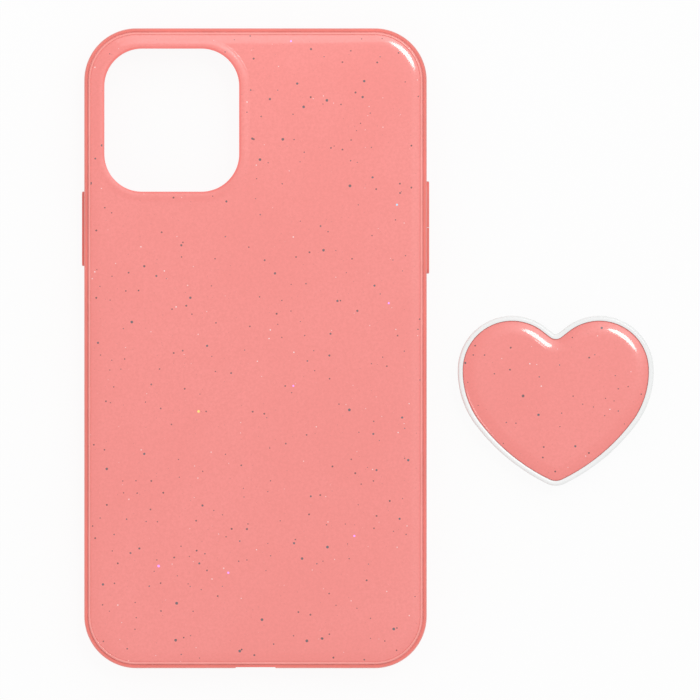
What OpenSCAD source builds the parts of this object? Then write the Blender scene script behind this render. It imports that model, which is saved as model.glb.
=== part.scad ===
// Phone case with a matching heart-shaped pop-out grip.
// The case lies on its front rim with its back up: +Z points out of the back, +Y to the camera end.
// The origin is the centre of the front rim. The loose grip rests beside the case on the same plane.

/* [Case] */
// Width over the side walls
case_w = 79; // [77:0.5:81]
// Length over the end walls
case_l = 147.6; // [144:0.2:152]
// Corner radius of the outline
corner_r = 12; // [10:0.5:14]
// Thickness of the four walls
wall_t = 2.3; // [2.1:0.1:2.6]
// Thickness of the lip in front of the screen
lip_t = 1; // [0.8:0.1:1.2]
// How far the lip reaches over the screen
lip_reach = 1.2; // [0.8:0.1:1.6]
// Depth of the pocket that holds the phone
pocket_t = 8.2; // [7.8:0.1:8.6]

/* [Back] */
// Thickness of the stiff back plate
shell_t = 1.4; // [1.2:0.1:1.8]
// Thickness of the resin layer
resin_t = 1; // [0.8:0.1:1.2]
// Distance from the outline to the groove between frame and back
groove_in = 0.75; // [0.7:0.05:0.9]
// Width of that groove
groove_w = 0.25; // [0.2:0.05:0.3]
// Width of the bead that contains the resin
bead_w = 0.5; // [0.4:0.05:0.6]
// Radius of the resin's domed edge
dome_r = 0.9; // [0.6:0.05:0.9]

/* [Camera window] */
// Width of the window
window_w = 31.1; // [28:0.1:34]
// Length of the window
window_l = 33; // [30:0.1:36]
// Corner radius of the window
window_r = 8.7; // [6:0.1:10]
// Distance of the window's centre from the case's centre line
window_x = 19.3; // [18:0.1:20]
// Distance of the window's centre from the case's middle, towards the camera end
window_y = 52.6; // [50:0.1:54]
// Thickness of the liner in the window's cut edge
guard_t = 0.45; // [0.4:0.05:0.6]
// Radius of the rounded swelling around the window
crest_r = 0.95; // [0.8:0.05:0.95]

/* [Keys] */
// Length of the power key
power_l = 17.2; // [14:0.1:20]
// Middle of the power key, from the case's middle
power_y = 27.6; // [24:0.1:32]
// Length of the volume key
volume_l = 21.3; // [18:0.1:24]
// Middle of the volume key, from the case's middle
volume_y = 27.9; // [26:0.1:30]
// Height of both keys
key_h = 3.8; // [3:0.1:4.4]
// How far the keys stand out of the wall
key_proud = 0.58; // [0.45:0.01:0.7]
// Travel of the keys
key_travel = 0.4; // [0.3:0.05:0.4]

/* [Side openings] */
// Width of the charging-port opening
port_w = 12; // [10:0.5:13]
// Height of the charging-port opening
port_h = 6; // [5:0.1:6.4]
// Width of the shallow recess over the port
recess_w = 9.2; // [8:0.1:10]
// Length of the ring-switch opening
switch_l = 9; // [8:0.5:10]
// Height of the ring-switch opening
switch_h = 5; // [4.6:0.1:5.4]
// Middle of the ring-switch opening, from the case's middle
switch_y = 49.5; // [48:0.5:52]

/* [Grip] */
// Distance of the grip's axis from the case's centre line
grip_x = 69.3; // [68:0.1:90]
// Position of the grip's axis along the case
grip_y = -12.9; // [-40:0.1:40]
// Width of the tray's rim around the resin heart
rim_w = 1.15; // [0.8:0.05:1.3]
// Radius of the platform
platform_r = 15.9; // [15.5:0.1:16]
// Rise of each of the two pop-out stages
stage_rise = 6.2; // [5:0.1:6.2]

/* [Hidden] */

// Circles are true circles; this only sets how finely they are drawn on screen
$fn = 96;
// How far a cutting tool runs past what it cuts
past = 1;

// Heights of the case, upwards from the front rim
floor_z = lip_t + pocket_t;
shell_top_z = floor_z + shell_t;
resin_top_z = shell_top_z + resin_t;
key_z = lip_t + pocket_t / 2;
// The frame's upstand beside the back plate, and the step by which the plate fills the groove's foot
upstand_z = shell_top_z;
step_t = 1.2;
step_z = floor_z + step_t;
// Rounding of the frame's edges: the back one's crown would lie a little above the upstand
back_round = 1.6;
back_crown = 0.3;
front_round = 0.8;
// How far the bead's straight part stands over the plate
bead_rise = 0.45;
// Insets from the outline, with a hairline between bead and resin
hairline = 0.05;
bead_in = groove_in + groove_w;
resin_in = bead_in + bead_w + hairline;
// The swelling's centre is this far outside the window's edge, and this far under the back's flat
crest_out = 1.1;
crest_sink = 0.8;
// How far the window's liner stands over the back's flat
guard_rise = 0.1;
guard_top_z = resin_top_z + guard_rise;

// Keys: corner radius, play in their windows, and the flange that keeps them in
key_r = 1.3;
key_play = 0.15;
key_split = 0.1;
flange_t = 0.45;
flange_w = 0.8;
flange_play = 0.05;
// Port recess, and the speaker and microphone slots on both sides of it
recess_t = 0.25;
slot_w = 12;
slot_h = 2.4;
slot_x = 17.5;

// The folded webs: thickness, and how far they end from the parts they join
web_t = 0.35;
web_gap = 0.02;

// Heights of the grip, upwards from the plane it rests on. A web flips from sloping down to
// sloping up, so a stage rises by twice the height that its folded web falls.
liner_t = 0.1;
pad_t = 0.8;
platform_z = liner_t + pad_t;
platform_t = 0.8;
foot_z = platform_z + platform_t;
foot_flange_t = 0.8;
trap_t = 0.8;
// Clearance between grip parts that slide or turn on each other
glide = 0.1;
fold_low_z = foot_z + glide;
fold_top_z = fold_low_z + stage_rise / 2 + web_t + 2 * web_gap;
plate_z = fold_top_z + glide;
plate_t = 1.2;
rim_h = 1.1;
// The resin heart's dome, as steps of [inset from the rim, height from the rim top]
dome_steps = [[0, -0.2], [0.9, 0.2], [2, 0.5], [3.2, 0.7]];
// Radii of the grip's round parts
platform_wall = 0.8;
foot_flange_r = 15;
foot_r = 13.5;
ring_r = 9.9;
hub_r = 6.3;
fold_wall = 0.9;
boss_r = 3;
boss_play = 0.05;
snap_r = 3.7;
snap_t = 0.7;
hub_top_t = 0.9;
pad_r = 15.4;
tab_w = 6;
tab_reach = 3;

// Half the heart, from the notch to the tip: concave notch, then four arcs turning right.
// Each entry is [radius, angle turned]; the tip's angle closes the outline.
notch_y = 15;
notch = [2.1, 38];
lobe = [11.4, 126];
shoulder = [19.4, 39];
flank = [44.5, 27];
tip_r = 3.5;
tip = [tip_r, 180 + notch[1] - lobe[1] - shoulder[1] - flank[1]];
arc_step = 4;

// Where a step of the outline ends, starting at p with heading h: r > 0 turns left, r < 0 right
function stepped(p, h, r, a) = p + r * [sin(a) - sin(h), cos(h) - cos(a)];
// Points along that step
function arc(p, h, r, turned) =
    let (n = ceil(turned / arc_step))
    [for (i = [1:n]) stepped(p, h, r, h + sign(r) * turned * i / n)];
// Headings after the notch, lobe, shoulder and flank
h1 = notch[1];
h2 = h1 - lobe[1];
h3 = h2 - shoulder[1];
h4 = h3 - flank[1];
// The straight slope between notch and lobe has the length that brings the tip onto the centre line
arcs_x = notch[0] * sin(h1) - lobe[0] * (sin(h2) - sin(h1)) - shoulder[0] * (sin(h3) - sin(h2))
       - flank[0] * (sin(h4) - sin(h3)) + tip[0] * sin(h4);
slope = -arcs_x / cos(h1);
function last(list) = list[len(list) - 1];
// The right half of the heart, grown outwards by g
function half_heart(g) =
    let (start = [0, notch_y + g],
         a = arc(start, 0, notch[0] - g, notch[1]),
         b = last(a) + slope * [cos(h1), sin(h1)],
         c = arc(b, h1, -lobe[0] - g, lobe[1]),
         d = arc(last(c), h2, -shoulder[0] - g, shoulder[1]),
         e = arc(last(d), h3, -flank[0] - g, flank[1]),
         f = arc(last(e), h4, -tip[0] - g, tip[1]))
    concat([start], a, [b], c, d, e, f);

module heart(g = 0) {
    right = half_heart(g);
    left = [for (i = [len(right) - 2:-1:1]) [-right[i].x, right[i].y]];
    polygon(concat(right, left));
}

module rounded_rect(w, l, r) {
    square([w - 2 * r, l], center = true);
    square([w, l - 2 * r], center = true);
    for (x = [-1, 1], y = [-1, 1])
        translate([x * (w / 2 - r), y * (l / 2 - r)]) circle(r);
}

// The case's outline, moved in by d
module case_outline(d = 0) {
    rounded_rect(case_w - 2 * d, case_l - 2 * d, corner_r - d);
}

// The camera window's outline, grown by d
module window_outline(d = 0) {
    translate([-window_x, window_y]) rounded_rect(window_w + 2 * d, window_l + 2 * d, window_r + d);
}

// Carries a flat profile round a rounded rectangle: x = 0 is the outline, and y becomes height
module around(w, l, r) {
    for (x = [0, 1], y = [0, 1])
        mirror([x, 0, 0]) mirror([0, y, 0])
            translate([w / 2 - r, l / 2 - r, 0])
                rotate_extrude(angle = 90) translate([r, 0]) children();
    for (x = [0, 1])
        mirror([x, 0, 0]) translate([w / 2, l / 2 - r, 0])
            rotate([90, 0, 0]) linear_extrude(l - 2 * r) children();
    for (y = [0, 1])
        mirror([0, y, 0]) translate([r - w / 2, l / 2, 0])
            rotate([90, 0, 90]) linear_extrude(w - 2 * r) children();
}

// What a rounded outer edge of radius r leaves of its corner
module corner_waste(r) {
    difference() {
        square(r + past);
        circle(r);
    }
}

// A flat shape carried along +X, from x0 to x1: its x becomes Y and its y becomes Z
module along_x(x0, x1) {
    translate([x0, 0, 0]) rotate([90, 0, 90]) linear_extrude(x1 - x0) children();
}

module stadium(w, h) {
    square([w - h, h], center = true);
    for (x = [-1, 1]) translate([x * (w - h) / 2, 0]) circle(h / 2);
}

// ---- case ----

module frame_profile() {
    difference() {
        union() {
            translate([-wall_t, 0]) square([wall_t, floor_z]);
            translate([-wall_t - lip_reach, 0]) square([wall_t + lip_reach, lip_t]);
            translate([-groove_in, 0]) square([groove_in, upstand_z]);
        }
        translate([-back_round, upstand_z - back_round + back_crown]) corner_waste(back_round);
        translate([-front_round, front_round]) mirror([0, 1]) corner_waste(front_round);
    }
}

// The hole of a key of length l, with the room for its flange on the inner side
module key_window(l) {
    inner = case_w / 2 - wall_t;
    grow = 2 * key_play;
    along_x(inner - past, case_w / 2 + past) rounded_rect(l + grow, key_h + grow, key_r + key_play);
    along_x(inner - past, inner + key_travel + flange_t + flange_play)
        rounded_rect(l + 2 * flange_w + grow, key_h + 2 * flange_w + grow, key_r);
}

module end_slot(w, h) {
    translate([0, -case_l / 2 - past, 0])
        rotate([-90, 0, 0]) linear_extrude(wall_t + 2 * past) stadium(w, h);
}

module bumper_frame() {
    color("salmon") difference() {
        around(case_w, case_l, corner_r) frame_profile();
        translate([0, volume_y, key_z]) key_window(volume_l);
        mirror([1, 0, 0]) translate([0, power_y, key_z]) key_window(power_l);
        translate([0, switch_y, key_z])
            along_x(case_w / 2 - wall_t - past, case_w / 2 + past) stadium(switch_l, switch_h);
        translate([0, 0, key_z]) {
            end_slot(port_w, port_h);
            for (side = [-1, 1]) translate([side * slot_x, 0, 0]) end_slot(slot_w, slot_h);
        }
        translate([-recess_w / 2, -case_l / 2 - past, -past])
            cube([recess_w, past + recess_t, upstand_z + 2 * past]);
    }
}

module back_shell() {
    color("lightcoral") difference() {
        union() {
            translate([0, 0, floor_z]) linear_extrude(step_z - floor_z) case_outline(groove_in);
            translate([0, 0, floor_z]) linear_extrude(shell_t) case_outline(bead_in);
            around(case_w, case_l, corner_r) bead_profile();
        }
        translate([0, 0, floor_z - past]) linear_extrude(shell_t + 2 * past) window_outline(guard_t);
    }
}

module bead_profile() {
    translate([-bead_in - bead_w, step_z]) square([bead_w, shell_top_z + bead_rise - step_z]);
    translate([-bead_in - bead_w / 2, shell_top_z + bead_rise]) circle(bead_w / 2);
}

module resin_edge_profile() {
    translate([-resin_in - dome_r, resin_top_z - dome_r]) intersection() {
        circle(dome_r);
        square(dome_r);
    }
}

// The swelling round the window, cut off where the liner stands
module crest_profile() {
    intersection() {
        translate([crest_out - guard_t, resin_top_z - crest_sink]) circle(crest_r);
        translate([0, shell_top_z]) square([2 * crest_r + crest_out, resin_t + crest_r]);
    }
}

module resin_panel() {
    color("lightpink") {
        difference() {
            union() {
                translate([0, 0, shell_top_z]) linear_extrude(resin_t) case_outline(resin_in + dome_r);
                translate([0, 0, shell_top_z]) linear_extrude(resin_t - dome_r) case_outline(resin_in);
                around(case_w, case_l, corner_r) resin_edge_profile();
            }
            translate([0, 0, shell_top_z - past]) linear_extrude(resin_t + 2 * past) window_outline(guard_t);
        }
        translate([-window_x, window_y, 0])
            around(window_w + 2 * guard_t, window_l + 2 * guard_t, window_r + guard_t) crest_profile();
    }
}

module camera_guard() {
    color("indianred") translate([0, 0, floor_z]) linear_extrude(guard_top_z - floor_z) difference() {
        window_outline(guard_t);
        window_outline();
    }
}

// A key on the +X side: its cap stands out of the wall and its flange keeps it in
module key(l) {
    inner = case_w / 2 - wall_t;
    along_x(inner + key_travel, case_w / 2 + key_proud) rounded_rect(l, key_h, key_r);
    along_x(inner + key_travel, inner + key_travel + flange_t)
        rounded_rect(l + 2 * flange_w, key_h + 2 * flange_w, key_r);
}

module power_button() {
    color("tomato") mirror([1, 0, 0]) translate([0, power_y, key_z]) key(power_l);
}

// One end of the long volume key: side 1 is the upper end, side -1 the lower
module volume_half(side) {
    reach = volume_l / 2 + flange_w + past;
    color("tomato") translate([0, volume_y, key_z]) intersection() {
        key(volume_l);
        translate([0, side * (reach + key_split) / 2, 0])
            cube([case_w + 2 * past + 2 * key_proud, reach, case_w], center = true);
    }
}

module volume_up_button() {
    volume_half(1);
}

module volume_down_button() {
    volume_half(-1);
}

// ---- grip ----

module at_grip(z = 0) {
    translate([grip_x, grip_y, z]) children();
}

module tube(r_out, r_in, h) {
    difference() {
        cylinder(r = r_out, h = h);
        translate([0, 0, -past]) cylinder(r = r_in, h = h + 2 * past);
    }
}

module heart_resin() {
    color("lightpink") at_grip(plate_z + plate_t) {
        for (s = dome_steps) linear_extrude(rim_h + s[1]) heart(-s[0]);
    }
}

module heart_plate() {
    color("white") at_grip(plate_z) {
        linear_extrude(plate_t) heart(rim_w);
        linear_extrude(plate_t + rim_h) difference() {
            heart(rim_w);
            heart();
        }
    }
}

module top_boss() {
    neck_z = fold_top_z - hub_top_t - glide;
    color("whitesmoke") at_grip() {
        translate([0, 0, neck_z - snap_t]) cylinder(r = snap_r, h = snap_t);
        translate([0, 0, neck_z - snap_t]) cylinder(r = boss_r, h = plate_z - neck_z + snap_t);
    }
}

module accordion_hub() {
    color("gainsboro") at_grip(fold_low_z) difference() {
        cylinder(r = hub_r, h = fold_top_z - fold_low_z);
        translate([0, 0, -past])
            cylinder(r = hub_r - fold_wall, h = fold_top_z - fold_low_z - hub_top_t + past);
        translate([0, 0, -past]) cylinder(r = boss_r + boss_play, h = fold_top_z + past);
    }
}

// A folded web slopes down and inwards, from the outer part's top to the inner part's foot
module web(r_out, r_in) {
    top = fold_top_z - web_gap;
    low = fold_low_z + web_gap;
    rotate_extrude() polygon([[r_out, top], [r_out, top - web_t], [r_in, low], [r_in, low + web_t]]);
}

module upper_web() {
    color("silver") at_grip() web(ring_r - fold_wall - web_gap, hub_r + web_gap);
}

module accordion_ring() {
    color("gainsboro") at_grip(fold_low_z) tube(ring_r, ring_r - fold_wall, fold_top_z - fold_low_z);
}

module lower_web() {
    color("silver") at_grip() web(foot_r - fold_wall - web_gap, ring_r + web_gap);
}

module accordion_foot() {
    color("gainsboro") at_grip(foot_z) {
        tube(foot_flange_r, foot_r - fold_wall, foot_flange_t);
        tube(foot_r, foot_r - fold_wall, fold_top_z - foot_z);
    }
}

module retaining_ring() {
    color("white") at_grip(foot_z + foot_flange_t) tube(platform_r - platform_wall, foot_r, trap_t);
}

module platform() {
    color("white") at_grip(platform_z) {
        cylinder(r = platform_r, h = platform_t);
        tube(platform_r, platform_r - platform_wall, platform_t + foot_flange_t + trap_t);
    }
}

module adhesive_pad() {
    color("lightgray") at_grip(liner_t) cylinder(r = pad_r, h = pad_t);
}

// The liner's tab reaches out under the heart's tip
module release_liner() {
    color("ivory") at_grip() linear_extrude(liner_t) {
        circle(pad_r);
        translate([-tab_w / 2, -pad_r - tab_reach + tab_w / 2]) square([tab_w, pad_r]);
        translate([0, -pad_r - tab_reach + tab_w / 2]) circle(tab_w / 2);
    }
}

bumper_frame();
back_shell();
resin_panel();
camera_guard();
power_button();
volume_up_button();
volume_down_button();
heart_resin();
heart_plate();
top_boss();
accordion_hub();
upper_web();
accordion_ring();
lower_web();
accordion_foot();
retaining_ring();
platform();
adhesive_pad();
release_liner();
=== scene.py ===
"""Finished look of the phone case and its loose heart grip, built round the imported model.

Lengths are in millimetres until a piece is finished, when it is scaled to metres.
"""

import math

import bmesh
import bpy
from mathutils import Matrix, Vector


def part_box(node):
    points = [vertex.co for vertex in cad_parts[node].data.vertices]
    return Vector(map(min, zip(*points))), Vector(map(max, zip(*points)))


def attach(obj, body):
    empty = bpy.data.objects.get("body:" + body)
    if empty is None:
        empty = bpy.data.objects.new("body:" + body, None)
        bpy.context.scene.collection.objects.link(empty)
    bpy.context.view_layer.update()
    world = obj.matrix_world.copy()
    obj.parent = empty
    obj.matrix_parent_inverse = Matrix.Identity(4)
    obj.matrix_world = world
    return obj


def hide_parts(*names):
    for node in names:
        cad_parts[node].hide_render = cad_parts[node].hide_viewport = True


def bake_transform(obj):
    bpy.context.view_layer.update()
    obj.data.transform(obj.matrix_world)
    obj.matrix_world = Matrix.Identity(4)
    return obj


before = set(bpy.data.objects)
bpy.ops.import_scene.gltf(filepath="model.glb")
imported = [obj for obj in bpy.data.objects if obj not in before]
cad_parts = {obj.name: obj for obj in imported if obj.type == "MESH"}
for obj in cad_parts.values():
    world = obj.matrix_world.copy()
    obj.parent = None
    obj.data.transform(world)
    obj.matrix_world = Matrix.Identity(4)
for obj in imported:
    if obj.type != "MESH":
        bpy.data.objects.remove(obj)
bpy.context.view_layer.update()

MM = 0.001


def span(node):
    """A CAD node's lowest and highest corner, in millimetres."""
    low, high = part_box(node)
    return low / MM, high / MM


# ---- sizes, from the frame ----

frame_low, frame_high = span("bumper_frame")
CASE_W = frame_high.x - frame_low.x
CASE_L = frame_high.y - frame_low.y
UPSTAND_Z = frame_high.z
CORNER_R = 12
WALL_T = 2.3
LIP_T = 1.0
LIP_REACH = 1.2
shell_low, shell_high = span("back_shell")
FLOOR_Z = shell_low.z
BEAD_TOP_Z = shell_high.z
GROOVE_IN = shell_low.x - frame_low.x
BEAD_IN = GROOVE_IN + 0.25
BEAD_W = 0.5
STEP_Z = FLOOR_Z + 1.2
resin_low, resin_high = span("resin_panel")
RESIN_IN = BEAD_IN + BEAD_W
RESIN_FOOT_Z = resin_low.z
RESIN_TOP_Z = RESIN_FOOT_Z + 1
guard_low, guard_high = span("camera_guard")
GUARD_T = 0.45
WINDOW_W = guard_high.x - guard_low.x - 2 * GUARD_T
WINDOW_L = guard_high.y - guard_low.y - 2 * GUARD_T
WINDOW_R = 8.7
WINDOW = ((guard_low.x + guard_high.x) / 2, (guard_low.y + guard_high.y) / 2)
KEY_R = 1.3
FLANGE_W = 0.8
FLANGE_T = 0.45
pad_low, pad_high = span("adhesive_pad")
GRIP = Vector(((pad_low.x + pad_high.x) / 2, (pad_low.y + pad_high.y) / 2, 0))
plate_low, plate_high = span("heart_plate")
PLATE_T = 1.2
RIM_W = 1.15

# How finely a quarter turn, a turned piece and a small rounding are drawn
CORNER_STEPS = 28
TURN_STEPS = 144
ROUND_STEPS = 5

# Points closer than this, in millimetres, are one point
WELD = 1e-4

# Faces that meet at more than this angle, in degrees, meet in a sharp edge
SHARP = 35
SHARP_CURVED = 50
SHARP_DOMED = 60


# ---- shaping ----


def quarter_round(radius, top, steps):
    """Points (inset, height) of an edge that rolls inwards by a quarter turn and ends at top."""
    turns = [math.pi / 2 * i / steps for i in range(steps + 1)]
    return [(radius * (1 - math.cos(a)), top - radius * (1 - math.sin(a))) for a in turns]


def outward(bm):
    """Points every face of a closed shape outwards."""
    bmesh.ops.recalc_face_normals(bm, faces=bm.faces)


def edges_of(found):
    """The edges among the parts of a mesh that an operator returns."""
    return [g for g in found if isinstance(g, bmesh.types.BMEdge)]


def rounded_face(bm, w, l, r, centre=(0, 0), z=0, steps=CORNER_STEPS):
    """A flat face with the outline of a rounded rectangle."""
    x, y = w / 2, l / 2
    corners = [
        bm.verts.new((centre[0] + a, centre[1] + b, z))
        for a, b in ((-x, -y), (x, -y), (x, y), (-x, y))
    ]
    bm.faces.new(corners)
    bmesh.ops.bevel(
        bm,
        geom=corners,
        offset=r,
        offset_type="OFFSET",
        segments=steps,
        profile=0.5,
        affect="VERTICES",
        clamp_overlap=False,
        material=-1,
    )
    return bm.faces[:][0]


def climb(bm, face, points):
    """Steps a face inwards and upwards along a profile of (inset, height) points."""
    for (inset_0, _), (inset_1, z) in zip(points, points[1:]):
        bmesh.ops.inset_region(
            bm, faces=[face], thickness=inset_1 - inset_0, use_even_offset=True, use_boundary=True
        )
        for v in face.verts:
            v.co.z = z


def outline(bm, corners, open_x=None):
    """A closed outline in the XZ plane from corners (x, z, rounding), left open along x = open_x."""
    verts = [bm.verts.new((x, 0, z)) for x, z, _ in corners]
    bm.faces.new(verts)
    for size in sorted({c[2] for c in corners} - {0}):
        bmesh.ops.bevel(
            bm,
            geom=[v for v, c in zip(verts, corners) if c[2] == size],
            offset=size,
            offset_type="OFFSET",
            segments=ROUND_STEPS,
            profile=0.5,
            affect="VERTICES",
            clamp_overlap=False,
            material=-1,
        )
    bmesh.ops.delete(bm, geom=bm.faces[:], context="FACES_ONLY")
    if open_x is not None:
        axis_edges = [e for e in bm.edges if all(abs(v.co.x - open_x) < WELD for v in e.verts)]
        bmesh.ops.delete(bm, geom=axis_edges, context="EDGES")


def spun(bm):
    """Turns a shape's edges once round the Z axis."""
    bmesh.ops.spin(
        bm,
        geom=bm.verts[:] + bm.edges[:],
        cent=(0, 0, 0),
        axis=(0, 0, 1),
        angle=math.tau,
        steps=TURN_STEPS,
        use_merge=True,
        use_duplicate=False,
    )


def turned(corners, open_x=None):
    """An outline turned once round the grip's axis."""
    bm = bmesh.new()
    outline(bm, corners, open_x)
    spun(bm)
    bmesh.ops.remove_doubles(bm, verts=bm.verts, dist=WELD)
    bmesh.ops.dissolve_degenerate(bm, dist=WELD, edges=bm.edges)
    outward(bm)
    bmesh.ops.translate(bm, verts=bm.verts, vec=GRIP)
    return bm


def carried(corners, w, l, r, centre=(0, 0), open_x=None):
    """An outline carried round a rounded rectangle; its x is the distance outwards from the edge."""
    bm = bmesh.new()
    outline(bm, corners, open_x)
    turn_x = w / 2 - r
    turn_y = l / 2 - r
    bmesh.ops.translate(bm, verts=bm.verts, vec=(w / 2, turn_y, 0))
    first = bm.edges[:]
    swept = bmesh.ops.spin(
        bm,
        geom=bm.verts[:] + first,
        cent=(turn_x, turn_y, 0),
        axis=(0, 0, 1),
        angle=math.pi / 2,
        steps=CORNER_STEPS,
        use_duplicate=False,
    )
    last = edges_of(swept["geom_last"])
    for edges, move in ((first, (0, -turn_y, 0)), (last, (-turn_x, 0, 0))):
        grown = bmesh.ops.extrude_edge_only(bm, edges=edges)["geom"]
        moved = [g for g in grown if isinstance(g, bmesh.types.BMVert)]
        bmesh.ops.translate(bm, verts=moved, vec=move)
    for axis in ("X", "Y"):
        bmesh.ops.mirror(
            bm,
            geom=bm.verts[:] + bm.edges[:] + bm.faces[:],
            matrix=Matrix.Identity(4),
            merge_dist=WELD,
            axis=axis,
        )
    bmesh.ops.remove_doubles(bm, verts=bm.verts, dist=WELD)
    outward(bm)
    bmesh.ops.translate(bm, verts=bm.verts, vec=(*centre, 0))
    return bm


def joined(bm, other):
    """Adds another mesh to this one."""
    held = bpy.data.meshes.new("held")
    other.to_mesh(held)
    other.free()
    bm.from_mesh(held)
    bpy.data.meshes.remove(held)


def fill_level(bm, z, up):
    """Closes the open loops at one height with a flat sheet, up (1) or down (-1), round its holes."""
    rim = [e for e in bm.edges if e.is_boundary and all(abs(v.co.z - z) < 10 * WELD for v in e.verts)]
    bmesh.ops.triangle_fill(bm, edges=rim, use_beauty=True, use_dissolve=False, normal=(0, 0, up))


def prism(w, h, r, x0, x1, at, edge=0):
    """A bar along X with a rounded section w by h; its x1 end has a small rounding, edge."""
    bm = bmesh.new()
    face = rounded_face(bm, w, h, r, steps=8)
    top = quarter_round(edge, x1 - x0, 4) if edge else [(0, x1 - x0)]
    climb(bm, face, [(0, 0), *top])
    fill_level(bm, 0, -1)
    stand = Matrix(((0, 0, 1, 0), (1, 0, 0, 0), (0, 1, 0, 0), (0, 0, 0, 1)))
    bmesh.ops.transform(bm, matrix=stand, verts=bm.verts)
    bmesh.ops.translate(bm, verts=bm.verts, vec=(x0, at[0], at[1]))
    outward(bm)
    return bm


def shade(mesh, sharp):
    """Shades a mesh smooth, apart from its sharp edges."""
    mesh.shade_smooth()
    mesh.set_sharp_from_angle(angle=math.radians(sharp))


def as_object(bm, name, sharp=SHARP):
    """Scales a finished shape to metres and makes it an object."""
    bmesh.ops.scale(bm, vec=(MM, MM, MM), verts=bm.verts)
    mesh = bpy.data.meshes.new(name)
    bm.to_mesh(mesh)
    bm.free()
    shade(mesh, sharp)
    made = bpy.data.objects.new(name, mesh)
    bpy.context.scene.collection.objects.link(made)
    return made


def piece(bm, name, material, slot, body, *replaced, sharp=SHARP):
    """Makes a shape a visible piece that stands for a CAD node; it rides on a body, if one is given."""
    made = as_object(bm, name, sharp)
    made.data.materials.append(material)
    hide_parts(*replaced)
    if body:
        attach(made, body)
    return made


def applied(made):
    """Applies an object's modifiers to its mesh."""
    bpy.context.view_layer.update()
    depsgraph = bpy.context.evaluated_depsgraph_get()
    baked = bpy.data.meshes.new_from_object(made.evaluated_get(depsgraph), depsgraph=depsgraph)
    made.modifiers.clear()
    made.data = baked


def cut_with(made, tools):
    """Cuts the tools' shapes out of an object, and removes the tools."""
    for tool in tools:
        cutting = made.modifiers.new("cut", "BOOLEAN")
        cutting.operation = "DIFFERENCE"
        cutting.object = tool
        cutting.solver = "EXACT"
    applied(made)
    for tool in tools:
        bpy.data.objects.remove(tool)


# ---- materials ----


def node(tree, kind, inputs=None, **settings):
    """A new node with its settings; each input takes a value or another node's output."""
    made = tree.nodes.new(kind)
    for key, value in settings.items():
        setattr(made, key, value)
    for key, value in (inputs or {}).items():
        socket = made.inputs[key]
        if isinstance(value, bpy.types.NodeSocket):
            tree.links.new(value, socket)
        else:
            socket.default_value = value
    return made


def maths(tree, operation, a, b, clamp=False):
    """The result of one operation on two values."""
    made = node(tree, "ShaderNodeMath", {0: a, 1: b}, operation=operation, use_clamp=clamp)
    return made.outputs["Value"]


def noise(tree, place, size, detail=3, rough=0.55):
    """A soft random pattern whose features are about size metres across; returns its 0 to 1 value."""
    made = node(
        tree,
        "ShaderNodeTexNoise",
        {"Vector": place, "Scale": 1 / size, "Detail": detail, "Roughness": rough},
    )
    return made.outputs["Fac"]


def ranged(tree, value, low, high, out_low, out_high):
    """A value taken from one range to another, and held inside it."""
    made = node(
        tree,
        "ShaderNodeMapRange",
        {"Value": value, "From Min": low, "From Max": high, "To Min": out_low, "To Max": out_high},
    )
    return made.outputs["Result"]


def mixed(tree, factor, a, b):
    """A mix of two colours, from all a at 0 to all b at 1."""
    made = tree.nodes.new("ShaderNodeMix")
    made.data_type = "RGBA"
    for index, value in ((0, factor), (6, a), (7, b)):
        if isinstance(value, bpy.types.NodeSocket):
            tree.links.new(value, made.inputs[index])
        else:
            made.inputs[index].default_value = (*value, 1)
    return made.outputs[2]


def ramp(tree, value, stops, steps=False):
    """A colour looked up by a 0 to 1 value, in smooth changes or in steps."""
    made = node(tree, "ShaderNodeValToRGB", {"Fac": value})
    made.color_ramp.interpolation = "CONSTANT" if steps else "LINEAR"
    while len(made.color_ramp.elements) < len(stops):
        made.color_ramp.elements.new(0.5)
    for element, (at, colour) in zip(made.color_ramp.elements, stops):
        element.position = at
        element.color = (*colour, 1)
    return made.outputs["Color"]


def finish(name, shader_values):
    """A new material: returns it, its node tree, its shader and the object's coordinates."""
    made = bpy.data.materials.new(name)
    made.use_nodes = True
    tree = made.node_tree
    shader = tree.nodes["Principled BSDF"]
    for key, value in shader_values.items():
        shader.inputs[key].default_value = value
    place = tree.nodes.new("ShaderNodeTexCoord").outputs["Object"]
    return made, tree, shader, place


def bumped(tree, shader, height, depth):
    """Roughens a surface by a pattern of the given depth, in metres."""
    bump = node(tree, "ShaderNodeBump", {"Height": height, "Strength": 0.5, "Distance": depth})
    tree.links.new(bump.outputs["Normal"], shader.inputs["Normal"])


# Size of a moulding's slow changes of tone, in metres, how much its gloss changes with them, and
# how deep its grain is for its size
CLOUD_SIZE = 0.012
GLOSS_RANGE = 0.04
GRAIN_DEPTH = 0.06


def moulded(name, colour, deeper, roughness, grain, values=None):
    """Moulded plastic or rubber: two close shades, uneven gloss and a fine surface grain."""
    made, tree, shader, place = finish(name, values or {})
    cloud = noise(tree, place, CLOUD_SIZE)
    tone = mixed(tree, ranged(tree, cloud, 0.35, 0.65, 0, 1), deeper, colour)
    fine = noise(tree, place, grain, detail=2)
    grained = mixed(tree, ranged(tree, fine, 0.3, 0.7, 0, 0.35), tone, deeper)
    gloss = ranged(tree, cloud, 0.3, 0.7, roughness - GLOSS_RANGE, roughness + GLOSS_RANGE)
    tree.links.new(grained, shader.inputs["Base Color"])
    tree.links.new(gloss, shader.inputs["Roughness"])
    bumped(tree, shader, fine, grain * GRAIN_DEPTH)
    return made


# Width of a fleck's soft edge, in metres, and how strongly small flecks outnumber large ones
FLECK_EDGE = 0.00006
FLECK_BIAS = 1.6


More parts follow.
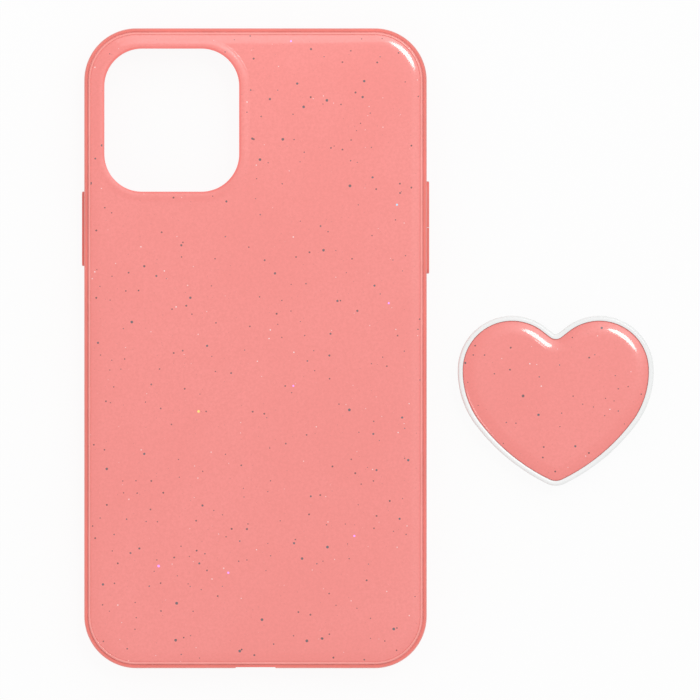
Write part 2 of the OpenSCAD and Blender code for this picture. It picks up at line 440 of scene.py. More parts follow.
def flecks(tree, place, cell, share, small, large, offset):
    """Specks scattered in a share of the cells: returns their mask and each one's random number."""
    moved = node(tree, "ShaderNodeMapping", {"Vector": place, "Location": (*offset, 0)})
    cells = node(
        tree,
        "ShaderNodeTexVoronoi",
        {"Vector": moved.outputs["Vector"], "Scale": 1 / cell, "Randomness": 1.0},
        voronoi_dimensions="2D",
        feature="F1",
    )
    lot = node(tree, "ShaderNodeSeparateColor", {"Color": cells.outputs["Color"]})
    drawn = maths(tree, "POWER", lot.outputs["Red"], FLECK_BIAS)
    size = ranged(tree, drawn, 0, 1, small / cell, large / cell)
    there = maths(tree, "LESS_THAN", lot.outputs["Blue"], share)
    inside = maths(tree, "SUBTRACT", maths(tree, "MULTIPLY", size, there), cells.outputs["Distance"])
    return maths(tree, "DIVIDE", inside, FLECK_EDGE / cell, clamp=True), lot.outputs["Green"]


CORAL = (0.86, 0.218, 0.198)
CORAL_DEEP = (0.82, 0.188, 0.166)
CORAL_GRAIN = (0.78, 0.185, 0.16)
TEAL_GREY = (0.07, 0.085, 0.10)
BROWN = (0.07, 0.025, 0.022)
VIOLET = (1.0, 0.32, 1.0)
YELLOW = (1.0, 0.72, 0.15)
PALE_BLUE = (0.45, 0.70, 0.85)

# One kind of fleck in each row: size of the cells it is scattered in, the share of them that
# holds one, its least and greatest radius, its opacity, and its colours; sizes are in metres
FLECK_KINDS = (
    (0.0013, 0.20, 0.00005, 0.00012, 0.45, ((0, BROWN), (1, (0.40, 0.12, 0.10)))),
    (0.0012, 0.14, 0.00004, 0.00009, 0.45, ((0, (0.95, 0.6, 0.55)), (1, (0.9, 0.45, 0.4)))),
    (0.0026, 0.19, 0.00014, 0.00025, 0.95, ((0, BROWN), (0.8, (0.11, 0.045, 0.04)), (1, TEAL_GREY))),
    (0.0050, 0.13, 0.00026, 0.00036, 0.95, ((0, TEAL_GREY), (1, (0.09, 0.06, 0.06)))),
    (0.0027, 0.09, 0.00010, 0.00018, 0.8, ((0, (0.95, 0.85, 0.83)), (1, (0.95, 0.6, 0.56)))),
)
GLITTER = ((0, VIOLET), (0.55, PALE_BLUE), (0.8, YELLOW))

# Size and reach of the waviness that keeps flecks from being round, in metres
WAVE_SIZE = 1 / 6000
WAVE_REACH = 0.00012

# Each kind of fleck is moved by this from the one before it
NEXT_KIND = (0.137, -0.071)


def speckled_resin(name, offset):
    """Glossy coral resin with dark, white and glitter flecks set in it."""
    made, tree, shader, place = finish(
        name,
        {
            "IOR": 1.5,
            "Coat Weight": 1.0,
            "Coat Roughness": 0.08,
            "Coat IOR": 1.7,
            "Specular IOR Level": 0.4,
        },
    )
    wavy = node(tree, "ShaderNodeTexNoise", {"Vector": place, "Scale": 1 / WAVE_SIZE, "Detail": 1.0})
    half = {0: wavy.outputs["Color"], 1: (0.5, 0.5, 0.5)}
    centred = node(tree, "ShaderNodeVectorMath", half, operation="SUBTRACT")
    reach = {0: centred.outputs["Vector"], "Scale": WAVE_REACH}
    small_moves = node(tree, "ShaderNodeVectorMath", reach, operation="SCALE")
    both = {0: place, 1: small_moves.outputs["Vector"]}
    uneven = node(tree, "ShaderNodeVectorMath", both, operation="ADD").outputs["Vector"]
    cloud = noise(tree, place, 0.02)
    grain = noise(tree, place, 0.0006, detail=3, rough=0.7)
    colour = mixed(tree, ranged(tree, cloud, 0.35, 0.65, 0, 0.5), CORAL, CORAL_DEEP)
    colour = mixed(tree, ranged(tree, grain, 0.35, 0.65, 0, 0.75), colour, CORAL_GRAIN)
    for cell, share, small, large, opacity, shades in FLECK_KINDS:
        offset = (offset[0] + NEXT_KIND[0], offset[1] + NEXT_KIND[1])
        mask, lot = flecks(tree, uneven, cell, share, small, large, offset)
        colour = mixed(tree, maths(tree, "MULTIPLY", mask, opacity), colour, ramp(tree, lot, shades))
    offset = (offset[0] + NEXT_KIND[0], offset[1] + NEXT_KIND[1])
    mask, lot = flecks(tree, uneven, 0.010, 0.10, 0.00025, 0.00034, offset)
    glitter = ramp(tree, lot, GLITTER, steps=True)
    colour = mixed(tree, mask, colour, glitter)
    tree.links.new(colour, shader.inputs["Base Color"])
    tree.links.new(ranged(tree, grain, 0.3, 0.7, 0.32, 0.4), shader.inputs["Roughness"])
    return made


soft_coral = moulded("soft_coral", (0.84, 0.19, 0.158), (0.76, 0.178, 0.148), 0.38, 0.00035)
hard_coral = moulded(
    "hard_coral", (0.88, 0.30, 0.27), (0.84, 0.265, 0.235), 0.28, 0.0005, {"Coat Weight": 0.5}
)
window_coral = moulded("window_coral", (0.84, 0.205, 0.185), (0.80, 0.18, 0.16), 0.32, 0.0004)
panel_resin = speckled_resin("panel_resin", (0.0, 0.0))
heart_fill = speckled_resin("heart_fill", (0.31, 0.17))
white_tray = moulded("white_tray", (0.81, 0.815, 0.812), (0.785, 0.795, 0.79), 0.22, 0.0005)
soft_white = moulded("soft_white", (0.78, 0.785, 0.78), (0.74, 0.745, 0.74), 0.42, 0.0004)
white_base = moulded("white_base", (0.80, 0.80, 0.795), (0.77, 0.775, 0.77), 0.3, 0.0005)
adhesive_gel = moulded("adhesive_gel", (0.55, 0.57, 0.58), (0.50, 0.52, 0.53), 0.5, 0.0009)
liner_paper = moulded("liner_paper", (0.80, 0.76, 0.66), (0.74, 0.69, 0.58), 0.55, 0.0007)


# ---- case ----

# Roundings of the frame: its lip, its front edge, its inner corners and its back edge, which is
# drawn BACK_EXCESS too high and then cut off flat at the frame's own height
LIP_ROUND = 0.3
FRONT_ROUND = 0.8
INNER_ROUND = 0.1
BACK_ROUND = 1.6
BACK_EXCESS = 0.3
frame_corners = [
    (-WALL_T - LIP_REACH, 0, LIP_ROUND),
    (0, 0, FRONT_ROUND),
    (0, UPSTAND_Z + BACK_EXCESS, BACK_ROUND),
    (-GROOVE_IN, UPSTAND_Z + BACK_EXCESS, 0),
    (-GROOVE_IN, FLOOR_Z, 0),
    (-WALL_T, FLOOR_Z, INNER_ROUND),
    (-WALL_T, LIP_T, INNER_ROUND),
    (-WALL_T - LIP_REACH, LIP_T, LIP_ROUND),
]
frame_bm = carried(frame_corners, CASE_W, CASE_L, CORNER_R)
cut = bmesh.ops.bisect_plane(
    frame_bm,
    geom=frame_bm.verts[:] + frame_bm.edges[:] + frame_bm.faces[:],
    plane_co=(0, 0, UPSTAND_Z),
    plane_no=(0, 0, 1),
    clear_outer=True,
)
bmesh.ops.bridge_loops(frame_bm, edges=edges_of(cut["geom_cut"]))
outward(frame_bm)
bumper = piece(frame_bm, "bumper", soft_coral, "soft_coral", None, "bumper_frame")

# Keys and openings lie round one height, half way up the phone
key_z = LIP_T + 4.1
inner_x = CASE_W / 2 - WALL_T
KEY_H = 3.8
KEY_TRAVEL = 0.4
KEY_PLAY = 0.15
FLANGE_PLAY = 0.05
SWITCH_SIZE = (9, 5)
SWITCH_Y = 49.5
PORT_SIZE = (12, 6)
SLOT_SIZE = (12, 2.4)
SLOT_X = 17.5
RECESS_SIZE = (9.2, 30)
RECESS_ROUND = 0.1
RECESS_T = 0.25

# How far a cutting shape reaches past what it cuts, and how far a round end stays from a full half
PAST = 1.0
NOT_QUITE = 0.001


def key_span(low_node, high_node):
    """Where a key's cap begins and ends along the side, without its flange."""
    return span(low_node)[0].y + FLANGE_W, span(high_node)[1].y - FLANGE_W


power_y0, power_y1 = key_span("power_button", "power_button")
volume_y0, volume_y1 = key_span("volume_down_button", "volume_up_button")
volume_split = (volume_y0 + volume_y1) / 2
key_top_x = span("volume_up_button")[1].x

cutters = []


def cutter(bm, turn=None):
    """Keeps a shape as a tool for the frame, turned to its side of the case."""
    if turn is not None:
        bmesh.ops.rotate(bm, verts=bm.verts, cent=(0, 0, 0), matrix=turn)
    cutters.append(as_object(bm, "cutter"))


side_out = CASE_W / 2 + PAST
side_in = inner_x - PAST
end_out = CASE_L / 2 + PAST
end_in = CASE_L / 2 - WALL_T - PAST
half_turn = Matrix.Rotation(math.pi, 3, "Z")
quarter_back = Matrix.Rotation(-math.pi / 2, 3, "Z")
for y0, y1, turn in ((volume_y0, volume_y1, None), (-power_y1, -power_y0, half_turn)):
    at = ((y0 + y1) / 2, key_z)
    wide = y1 - y0 + 2 * KEY_PLAY
    high = KEY_H + 2 * KEY_PLAY
    cutter(prism(wide, high, KEY_R + KEY_PLAY, side_in, side_out, at), turn)
    flange_out = inner_x + KEY_TRAVEL + FLANGE_T + FLANGE_PLAY
    cutter(prism(wide + 2 * FLANGE_W, high + 2 * FLANGE_W, KEY_R, side_in, flange_out, at), turn)
switch_r = SWITCH_SIZE[1] / 2 - NOT_QUITE
cutter(prism(*SWITCH_SIZE, switch_r, side_in, side_out, (SWITCH_Y, key_z)))
for x, (w, h) in ((0, PORT_SIZE), (SLOT_X, SLOT_SIZE), (-SLOT_X, SLOT_SIZE)):
    cutter(prism(w, h, h / 2 - NOT_QUITE, end_in, end_out, (x, key_z)), quarter_back)
recess_in = CASE_L / 2 - RECESS_T
cutter(prism(*RECESS_SIZE, RECESS_ROUND, recess_in, end_out, (0, key_z)), quarter_back)

cut_with(bumper, cutters)
shade(bumper.data, SHARP)
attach(bumper, "case")

# Back plate with the bead that holds the resin; its sheets start SHEET_IN inside the outline
SHEET_IN = 3
BEAD_ROUND_OUT = 0.24
BEAD_ROUND_IN = 0.12
shell_bm = carried(
    [
        (-SHEET_IN, FLOOR_Z, 0),
        (-GROOVE_IN, FLOOR_Z, 0),
        (-GROOVE_IN, STEP_Z, 0),
        (-BEAD_IN, STEP_Z, 0),
        (-BEAD_IN, BEAD_TOP_Z, BEAD_ROUND_OUT),
        (-BEAD_IN - BEAD_W, BEAD_TOP_Z, BEAD_ROUND_IN),
        (-BEAD_IN - BEAD_W, RESIN_FOOT_Z, 0),
        (-SHEET_IN, RESIN_FOOT_Z, 0),
    ],
    CASE_W,
    CASE_L,
    CORNER_R,
    open_x=-SHEET_IN,
)
outer_w, outer_l = WINDOW_W + 2 * GUARD_T, WINDOW_L + 2 * GUARD_T
hole_bm = carried(
    [
        (1, FLOOR_Z, 0),
        (0, FLOOR_Z, 0),
        (0, RESIN_FOOT_Z, 0),
        (1, RESIN_FOOT_Z, 0),
    ],
    outer_w,
    outer_l,
    WINDOW_R + GUARD_T,
    WINDOW,
    open_x=1,
)
joined(shell_bm, hole_bm)
fill_level(shell_bm, RESIN_FOOT_Z, 1)
fill_level(shell_bm, FLOOR_Z, -1)
outward(shell_bm)
piece(shell_bm, "back_plate", hard_coral, "hard_coral", "case", "back_shell")

# Resin panel: it falls away with radius DOME_R from DOME_IN inside the outline, and very slightly
# from CROWN_IN
DOME_R = 11.6
DOME_IN = 3.9
DOME_STEPS = 24
CROWN_R = 380
CROWN_IN = 11.4
CROWN_STEPS = 14

# Swelling round the camera window: how far out from the window it reaches, where it is highest,
# its height, and the radius with which it falls to the window
CREST_REACH = 2.4
CREST_MIDDLE = 1.0
CREST_H = 0.085
CREST_INNER_R = 4.5
CREST_STEPS = 22
CREST_LAP = 0.06


def case_inset(x, y):
    """How far a point lies inside the case's outline."""
    over_x = abs(x) - CASE_W / 2 + CORNER_R
    over_y = abs(y) - CASE_L / 2 + CORNER_R
    return CORNER_R - math.hypot(max(over_x, 0), max(over_y, 0)) - min(max(over_x, over_y), 0)


def dome_drop(inset):
    """How far the resin's surface has fallen below its flat at a distance from the outline."""
    reach = max(DOME_IN - inset, 0)
    crown_reach = max(CROWN_IN - inset, 0)
    return DOME_R - math.sqrt(DOME_R**2 - reach**2) + crown_reach**2 / (2 * CROWN_R)


def crest_height(out):
    """Height of the swelling at a distance outside the window's edge."""
    if out >= CREST_MIDDLE:
        share = min((out - CREST_MIDDLE) / (CREST_REACH - CREST_MIDDLE), 1)
        return CREST_H * (1 + math.cos(math.pi * share)) / 2
    reach = CREST_MIDDLE - out
    return CREST_H - CREST_INNER_R + math.sqrt(CREST_INNER_R**2 - reach**2)


def lowered(bm, above):
    """Lets the points of a shape above a height follow the resin's fall towards the outline."""
    for v in bm.verts:
        if v.co.z > above:
            v.co.z -= dome_drop(case_inset(v.co.x, v.co.y))


def steps_between(start, end, count):
    """Evenly spaced values after start, up to end."""
    return [start + (end - start) * i / count for i in range(1, count + 1)]


edge_insets = steps_between(RESIN_IN, DOME_IN, DOME_STEPS)
edge_insets += steps_between(DOME_IN, CROWN_IN, CROWN_STEPS)
edge_z = RESIN_TOP_Z - dome_drop(RESIN_IN)
resin_path = [(RESIN_IN, RESIN_FOOT_Z), (RESIN_IN, edge_z - 0.04), (RESIN_IN + 0.03, edge_z - 0.01)]
resin_path += [(d, RESIN_TOP_Z - dome_drop(d)) for d in edge_insets]
resin_bm = bmesh.new()
panel = rounded_face(
    resin_bm,
    CASE_W - 2 * RESIN_IN,
    CASE_L - 2 * RESIN_IN,
    CORNER_R - RESIN_IN,
    z=RESIN_FOOT_Z,
)
climb(resin_bm, panel, resin_path)
fill_level(resin_bm, RESIN_FOOT_Z, -1)
outward(resin_bm)
resin = piece(
    resin_bm, "resin_back", panel_resin, "speckled_resin", None, "resin_panel", sharp=SHARP_CURVED
)
hole_cutter = bmesh.new()
hole_face = rounded_face(
    hole_cutter,
    WINDOW_W + 2 * CREST_REACH,
    WINDOW_L + 2 * CREST_REACH,
    WINDOW_R + CREST_REACH,
    WINDOW,
    RESIN_FOOT_Z - PAST,
)
climb(hole_cutter, hole_face, [(0, RESIN_FOOT_Z - PAST), (0, RESIN_TOP_Z + PAST)])
fill_level(hole_cutter, RESIN_FOOT_Z - PAST, -1)
outward(hole_cutter)
cut_with(resin, [as_object(hole_cutter, "cutter")])

# The swelling is a ring of its own, which laps a little into the panel round it
crest_out = CREST_REACH + CREST_LAP
crest_bm = bmesh.new()
crest_face = rounded_face(
    crest_bm,
    WINDOW_W + 2 * crest_out,
    WINDOW_L + 2 * crest_out,
    WINDOW_R + crest_out,
    WINDOW,
    RESIN_FOOT_Z,
)
crest_outs = [CREST_REACH, *steps_between(CREST_REACH, GUARD_T, CREST_STEPS)]
crest_path = [(0, RESIN_FOOT_Z), (0, RESIN_TOP_Z - 0.03)]
crest_path += [(crest_out - out, RESIN_TOP_Z + crest_height(out)) for out in crest_outs]
crest_path += [(crest_out - GUARD_T, RESIN_FOOT_Z)]
climb(crest_bm, crest_face, crest_path)
bmesh.ops.delete(crest_bm, geom=[crest_face], context="FACES_ONLY")
fill_level(crest_bm, RESIN_FOOT_Z, -1)
lowered(crest_bm, RESIN_FOOT_Z + 0.01)
outward(crest_bm)
bmesh.ops.scale(crest_bm, vec=(MM, MM, MM), verts=crest_bm.verts)
crest_bm.from_mesh(resin.data)
crest_bm.to_mesh(resin.data)
crest_bm.free()
shade(resin.data, SHARP_CURVED)
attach(resin, "case")

# Liner of the camera window: its top continues the swelling, a little lower
LINER_LOWER = 0.01
LINER_OUTS = (GUARD_T, 0.35, 0.26, 0.18, 0.12, 0.07, 0.03, 0)
liner_top = [(out, RESIN_TOP_Z + crest_height(out) - LINER_LOWER, 0) for out in LINER_OUTS]
liner_corners = [(0, FLOOR_Z, 0.08), (GUARD_T, FLOOR_Z, 0), *liner_top]
liner_bm = carried(liner_corners, WINDOW_W, WINDOW_L, WINDOW_R, WINDOW)
lowered(liner_bm, RESIN_FOOT_Z)
piece(
    liner_bm,
    "window_liner",
    window_coral,
    "window_liner",
    "case",
    "camera_guard",
    sharp=SHARP_CURVED,
)


# ---- keys ----


KEY_ROUND = 0.22
KEY_GAP = 0.1


def key_shape(y0, y1):
    """A key on the +X side: its cap, and the flange behind it that holds it in the wall."""
    at = ((y0 + y1) / 2, key_z)
    foot_x = inner_x + KEY_TRAVEL
    flange_size = (y1 - y0 + 2 * FLANGE_W, KEY_H + 2 * FLANGE_W)
    bm = prism(y1 - y0, KEY_H, KEY_R, foot_x, key_top_x, at, edge=KEY_ROUND)
    joined(bm, prism(*flange_size, KEY_R, foot_x, foot_x + FLANGE_T, at))
    return bm


def cut_off(bm, y, side):
    """Cuts a key square at y, keeping the part on the given side, and closes the cut."""
    cut = bmesh.ops.bisect_plane(
        bm,
        geom=bm.verts[:] + bm.edges[:] + bm.faces[:],
        plane_co=(0, y, 0),
        plane_no=(0, -side, 0),
        clear_outer=True,
    )
    bmesh.ops.edgeloop_fill(bm, edges=edges_of(cut["geom_cut"]))
    outward(bm)


power_bm = key_shape(-power_y1, -power_y0)
bmesh.ops.rotate(power_bm, verts=power_bm.verts, cent=(0, 0, 0), matrix=half_turn)
piece(power_bm, "power_key", soft_coral, "soft_coral", "power_key", "power_button")
for side, name in ((1, "volume_up"), (-1, "volume_down")):
    half_bm = key_shape(volume_y0, volume_y1)
    cut_off(half_bm, volume_split + side * KEY_GAP / 2, side)
    piece(half_bm, name, soft_coral, "soft_coral", name + "_key", name + "_button")


# ---- grip: heart ----

# The heart's half outline runs from its notch to its tip: radius, turn in degrees and steps of
# each arc; a radius above 0 turns left, and a straight stretch follows the first arc
NOTCH_Y = 15
TIP_R = 3.5
TIP_STEPS = 14
ARCS = ((2.1, 38, 12), (-11.4, 126, 40), (-19.4, 39, 12), (-44.5, 27, 10))
STRAIGHT_STEPS = 4


def heart_face(bm, grown, z):
    """A flat heart face, grown outwards from the resin's edge."""
    headings = [0]
    for r, turn, _ in ARCS:
        headings.append(headings[-1] + math.copysign(turn, r))
    arcs = [*ARCS, (-TIP_R, 180 + headings[-1], TIP_STEPS)]
    width = 0
    for (r, turn, _), heading in zip(arcs, headings):
        after = heading + math.copysign(turn, r)
        width += r * (math.sin(math.radians(after)) - math.sin(math.radians(heading)))
    # the straight stretch is as long as it takes for the tip to end in the middle
    slope = -width / math.cos(math.radians(headings[1]))
    tip = bm.verts.new((0, NOTCH_Y + grown, z))
    for i, (r, turn, steps) in enumerate(arcs):
        heading = math.radians(headings[i])
        # the arc's centre lies to the left of the heading where it turns left
        radius = r - grown
        centre = tip.co + radius * Vector((-math.sin(heading), math.cos(heading), 0))
        made = bmesh.ops.spin(
            bm,
            geom=[tip],
            cent=centre,
            axis=(0, 0, 1),
            angle=math.radians(math.copysign(turn, r)),
            steps=steps,
            use_duplicate=False,
        )
        tip = made["geom_last"][0]
        if i == 0:
            heading = math.radians(headings[1])
            for _ in range(STRAIGHT_STEPS):
                tip = bmesh.ops.extrude_vert_indiv(bm, verts=[tip])["verts"][0]
                tip.co += slope / STRAIGHT_STEPS * Vector((math.cos(heading), math.sin(heading), 0))
    tip.co.x = 0
    bmesh.ops.mirror(
        bm,
        geom=bm.verts[:] + bm.edges[:],
        matrix=Matrix.Identity(4),
        merge_dist=10 * WELD,
        axis="X",
    )
    bmesh.ops.remove_doubles(bm, verts=bm.verts, dist=10 * WELD)
    bmesh.ops.edgeloop_fill(bm, edges=bm.edges)
    face = bm.faces[:][0]
    if face.normal.z < 0:
        face.normal_flip()
    return face


# White tray: flat under, with a rounded rim that stands round the resin
tray_z = plate_low.z
rim_z = plate_high.z
RIM_ROUND = 0.55
RIM_STEPS = 7
TRAY_ROUND = 0.3
tray_bm = bmesh.new()
tray_face = heart_face(tray_bm, RIM_W, tray_z + TRAY_ROUND)
tray_path = [(0, tray_z + TRAY_ROUND), *quarter_round(RIM_ROUND, rim_z, RIM_STEPS)]
tray_path += [(RIM_W - 0.14, rim_z), (RIM_W - 0.04, rim_z - 0.05), (RIM_W, rim_z - 0.15)]
tray_path += [(RIM_W, tray_z + PLATE_T)]
climb(tray_bm, tray_face, tray_path)
under = [e for e in tray_bm.edges if e.is_boundary]
base = bmesh.ops.edgeloop_fill(tray_bm, edges=under)["faces"][0]
base.normal_update()
if base.normal.z > 0:
    base.normal_flip()
for inset, z in ((0.1, tray_z + TRAY_ROUND - 0.1), (0.12, tray_z)):
    bmesh.ops.inset_region(tray_bm, faces=[base], thickness=inset, use_even_offset=True)
    for v in base.verts:
        v.co.z = z
bmesh.ops.translate(tray_bm, verts=tray_bm.verts, vec=GRIP)
outward(tray_bm)
piece(tray_bm, "heart_tray", white_tray, "white_tray", "grip_top", "heart_plate")

# Resin heart: it rolls over towards the rim with radius HEART_R from HEART_IN inside its edge, and
# rises by CROWN to its middle
HEART_GAP = 0.01
HEART_R = 11.0
HEART_IN = 3.4
HEART_STEPS = 26
HEART_EDGE_W = 0.2
HEART_EDGE_Z = rim_z - 0.22
CROWN = 0.06
RISE_STEPS = 14
HEART_MIDDLE_Y = -1.5

# Steps up to EVEN_IN inside the edge are even all round; past it the outline shrinks towards the
# middle, from which it is MEAN_REACH away on average
EVEN_IN = 2.6
MEAN_REACH = 17

resin_foot = tray_z + PLATE_T
heart_bm = bmesh.new()
heart_top = heart_face(heart_bm, -HEART_GAP, resin_foot)
dome_tilt = math.asin((HEART_IN - HEART_GAP - HEART_EDGE_W) / HEART_R)
tilts = steps_between(0, dome_tilt, HEART_STEPS)
lift = HEART_EDGE_Z - HEART_R * (math.cos(dome_tilt) - 1)
dome_path = [
    (HEART_IN - HEART_R * math.sin(t), lift + HEART_R * (math.cos(t) - 1)) for t in reversed(tilts)
]
heart_path = [
    (HEART_GAP, resin_foot),
    (HEART_GAP, HEART_EDGE_Z - 0.3),
    (HEART_GAP + 0.03, HEART_EDGE_Z - 0.17),
    (HEART_GAP + 0.1, HEART_EDGE_Z - 0.06),
    *dome_path,
]
even_path = [p for p in heart_path if p[0] <= EVEN_IN]
climb(heart_bm, heart_top, even_path)


def shrink(face, share, z):
    """Steps a face towards the heart's middle, to a share of its present size."""
    bmesh.ops.inset_region(heart_bm, faces=[face], thickness=0, use_even_offset=True)
    for v in face.verts:
        v.co = (v.co.x * share, HEART_MIDDLE_Y + (v.co.y - HEART_MIDDLE_Y) * share, z)


previous_in = even_path[-1][0]
for inset, z in heart_path[len(even_path) :]:
    shrink(heart_top, 1 - (inset - previous_in) / MEAN_REACH, z)
    previous_in = inset
flat_z = heart_path[-1][1]
for i in range(1, RISE_STEPS):
    share = 1 - i / RISE_STEPS
    shrink(heart_top, share / (share + 1 / RISE_STEPS), flat_z + CROWN * (1 - share**2) ** 1.5)
bmesh.ops.poke(heart_bm, faces=[heart_top])
open_edges = [e for e in heart_bm.edges if e.is_boundary]
bmesh.ops.edgeloop_fill(heart_bm, edges=open_edges)
bmesh.ops.translate(heart_bm, verts=heart_bm.verts, vec=GRIP)
outward(heart_bm)
piece(
    heart_bm, "heart_dome", heart_fill, "heart_resin", "grip_top", "heart_resin", sharp=SHARP_DOMED
)


# ---- grip: pop-out base ----


def part_span(node_name):
    """A round CAD node's radius, and its lowest and highest point."""
    low, high = span(node_name)
    return (high.x - low.x) / 2, low.z, high.z


FOLD_WALL = 0.9
BOSS_R = 3.0
BOSS_PLAY = 0.05
SNAP_CHAMFER_W = 0.35
SNAP_CHAMFER_H = 0.45
SNAP_H = 0.7
HUB_ROOF_T = 0.9
FOOT_R = 13.5
FOOT_FLANGE_T = 0.8
BASE_WALL = 0.8
WEB_T = 0.35
WEB_LAP = 0.02
WEB_CUTS = 13

snap_r, boss_z0, boss_z1 = part_span("top_boss")
boss_bm = turned(
    [
        (0, boss_z0, 0),
        (snap_r - SNAP_CHAMFER_W, boss_z0, 0.15),
        (snap_r, boss_z0 + SNAP_CHAMFER_H, 0.1),
        (snap_r, boss_z0 + SNAP_H, 0.1),
        (BOSS_R, boss_z0 + SNAP_H, 0),
        (BOSS_R, boss_z1, 0),
        (0, boss_z1, 0),
    ],
    open_x=0,
)
piece(boss_bm, "turning_boss", white_tray, "white_tray", "grip_top", "top_boss")

hub_r, hub_z0, hub_z1 = part_span("accordion_hub")
hub_bm = turned(
    [
        (BOSS_R + BOSS_PLAY, hub_z1 - HUB_ROOF_T, 0.1),
        (hub_r - FOLD_WALL, hub_z1 - HUB_ROOF_T, 0.3),
        (hub_r - FOLD_WALL, hub_z0, 0.25),
        (hub_r, hub_z0, 0.25),
        (hub_r, hub_z1, 0.4),
        (BOSS_R + BOSS_PLAY, hub_z1, 0.15),
    ]
)
piece(hub_bm, "fold_hub", soft_white, "soft_white", "grip_hub", "accordion_hub")

ring_r, ring_z0, ring_z1 = part_span("accordion_ring")
ring_bm = turned(
    [
        (ring_r - FOLD_WALL, ring_z0, 0.3),
        (ring_r, ring_z0, 0.3),
        (ring_r, ring_z1, 0.35),
        (ring_r - FOLD_WALL, ring_z1, 0.35),
    ]
)
piece(ring_bm, "fold_ring", soft_white, "soft_white", "grip_ring", "accordion_ring")

flange_r, foot_z0, foot_z1 = part_span("accordion_foot")
foot_bm = turned(
    [
        (FOOT_R - FOLD_WALL, foot_z0, 0.1),
        (flange_r, foot_z0, 0.1),
        (flange_r, foot_z0 + FOOT_FLANGE_T, 0.1),
        (FOOT_R, foot_z0 + FOOT_FLANGE_T, 0.05),
        (FOOT_R, foot_z1, 0.35),
        (FOOT_R - FOLD_WALL, foot_z1, 0.35),
    ]
)
piece(foot_bm, "fold_foot", soft_white, "soft_white", "grip_base", "accordion_foot")


def web(outer, inner, name, node_name):
    """A folded web between two rings: a thin cone that slopes down and inwards."""
    low, high = span(node_name)
    corners = [
        (outer, high.z - WEB_T, 0),
        (inner, low.z, 0),
        (inner, low.z + WEB_T, 0),
        (outer, high.z, 0),
    ]
    bm = bmesh.new()
    outline(bm, corners)
    long_edges = [e for e in bm.edges if e.calc_length() > 1]
    bmesh.ops.subdivide_edges(bm, edges=long_edges, cuts=WEB_CUTS)
    spun(bm)
    outward(bm)
    bmesh.ops.translate(bm, verts=bm.verts, vec=GRIP)
    made = piece(bm, name, soft_white, "soft_white", None, node_name, sharp=SHARP_DOMED)
    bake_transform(made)


foot_in = FOOT_R - FOLD_WALL + WEB_LAP
ring_in = ring_r - FOLD_WALL + WEB_LAP
web(foot_in, ring_r - WEB_LAP, "lower_fold", "lower_web")
web(ring_in, hub_r - WEB_LAP, "upper_fold", "upper_web")

trap_r, trap_z0, trap_z1 = part_span("retaining_ring")
trap_bm = turned(
    [
        (FOOT_R, trap_z0, 0.05),
        (trap_r, trap_z0, 0.05),
        (trap_r, trap_z1, 0.1),
        (FOOT_R, trap_z1, 0.2),
    ]
)
piece(trap_bm, "trap_ring", white_base, "white_base", "grip_base", "retaining_ring")

base_r, base_z0, base_z1 = part_span("platform")
base_bm = turned(
    [
        (0, base_z0, 0),
        (base_r, base_z0, 0.3),
        (base_r, base_z1, 0.3),
        (base_r - BASE_WALL, base_z1, 0.1),
        (base_r - BASE_WALL, base_z0 + BASE_WALL, 0.05),
        (0, base_z0 + BASE_WALL, 0),
    ],
    open_x=0,
)
piece(base_bm, "base_dish", white_base, "white_base", "grip_base", "platform")

gel_r, gel_z0, gel_z1 = part_span("adhesive_pad")
gel_bm = turned(
    [
        (0, gel_z0, 0),
        (gel_r, gel_z0, 0.15),
        (gel_r, gel_z1, 0.15),
        (0, gel_z1, 0),
    ],
    open_x=0,
)
piece(gel_bm, "gel_pad", adhesive_gel, "adhesive", "grip_base", "adhesive_pad")

# The release liner's CAD shape is right, so it only gets its paper
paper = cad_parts["release_liner"]
paper.data.materials.clear()
paper.data.materials.append(liner_paper)


# ---- floor, light and camera ----

# The floor glows evenly, so that it stays pale with only a breath of shadow
FLOOR_HALF = 2500
FLOOR_BELOW = 0.02
floor_bm = bmesh.new()
bmesh.ops.create_grid(floor_bm, x_segments=2, y_segments=2, size=FLOOR_HALF)
bmesh.ops.translate(floor_bm, verts=floor_bm.verts, vec=(0, 0, -FLOOR_BELOW))
floor = as_object(floor_bm, "floor")
pale_floor = finish(
    "pale_floor",
    {
        "Base Color": (0.06, 0.06, 0.06, 1),
        "Roughness": 0.9,
        "Specular IOR Level": 0,
        "Emission Color": (1, 1, 1, 1),
        "Emission Strength": 0.92,
    },
)[0]
floor.data.materials.append(pale_floor)

scene = bpy.context.scene
scene.view_settings.view_transform = "Standard"
sky = bpy.data.worlds.new("studio")
sky.use_nodes = True
sky_tree = sky.node_tree
direction = sky_tree.nodes.new("ShaderNodeTexCoord").outputs["Generated"]
height = node(sky_tree, "ShaderNodeSeparateXYZ", {"Vector": direction}).outputs["Z"]
background = sky_tree.nodes["Background"]
SKY = ((0, (0.72, 0.72, 0.72)), (0.6, (0.88, 0.88, 0.88)), (1, (0.90, 0.90, 0.90)))
sky_tree.links.new(ramp(sky_tree, height, SKY), background.inputs["Color"])


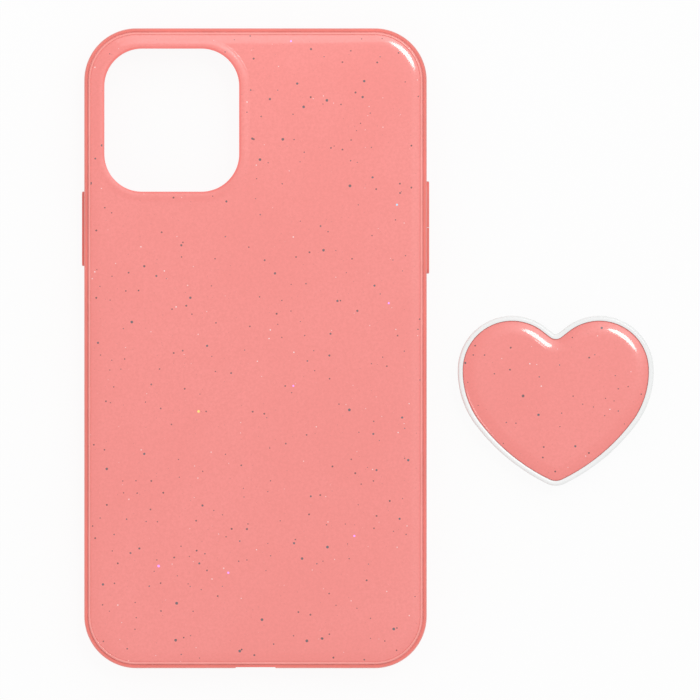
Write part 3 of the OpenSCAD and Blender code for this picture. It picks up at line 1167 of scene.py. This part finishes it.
def towards(azimuth, tilt):
    """The direction at an azimuth and a tilt away from straight above, in radians."""
    across = math.sin(tilt)
    return Vector((math.cos(azimuth) * across, math.sin(azimuth) * across, math.cos(tilt)))


# A broad soft brightening of the room, towards the far right
GLOW = towards(0.95, 0.5)
GLOW_NARROWNESS = 20
GLOW_STRENGTH = 1.3
facing = node(sky_tree, "ShaderNodeVectorMath", {0: direction, 1: GLOW}, operation="DOT_PRODUCT")
towards_it = maths(sky_tree, "MAXIMUM", facing.outputs["Value"], 0)
glow = maths(sky_tree, "POWER", towards_it, GLOW_NARROWNESS)
brightness = maths(sky_tree, "ADD", maths(sky_tree, "MULTIPLY", glow, GLOW_STRENGTH), 1.0)
sky_tree.links.new(brightness, background.inputs["Strength"])
scene.world = sky


def softbox(name, azimuth, tilt, distance, size, power):
    """A soft light that faces the object from an azimuth and a tilt, both in degrees."""
    light = bpy.data.lights.new(name, "AREA")
    light.shape = "ELLIPSE"
    light.size, light.size_y = size
    light.energy = power
    holder = bpy.data.objects.new(name, light)
    away = towards(math.radians(azimuth), math.radians(tilt))
    holder.location = away * distance
    holder.rotation_euler = away.to_track_quat("Z", "Y").to_euler()
    holder.visible_camera = False
    scene.collection.objects.link(holder)
    return holder


softbox("key_softbox", 46, 18.5, 2.6, (0.68, 0.44), 7.4)
softbox("low_strip", 210, 30, 2.6, (0.8, 0.11), 0.6)

# A small light above the floor past the camera end brightens that edge of the back
STRIP_Y = 0.127
strip = softbox("top_strip", 90, 0, 0.10, (0.12, 0.09), 0.015)
strip.location.y = STRIP_Y

# The camera looks straight down; VIEW_W is the width that it takes in at AIM_Z, in metres
VIEW_W = 0.16155
CAMERA_AT = (0.0218, -0.00040, 3.0)
AIM_Z = 0.008
SENSOR_W = 36
camera = bpy.data.objects.new("camera", bpy.data.cameras.new("camera"))
scene.collection.objects.link(camera)
camera.location = CAMERA_AT
camera.data.sensor_width = SENSOR_W
camera.data.lens = SENSOR_W * (CAMERA_AT[2] - AIM_Z) / VIEW_W
scene.camera = camera
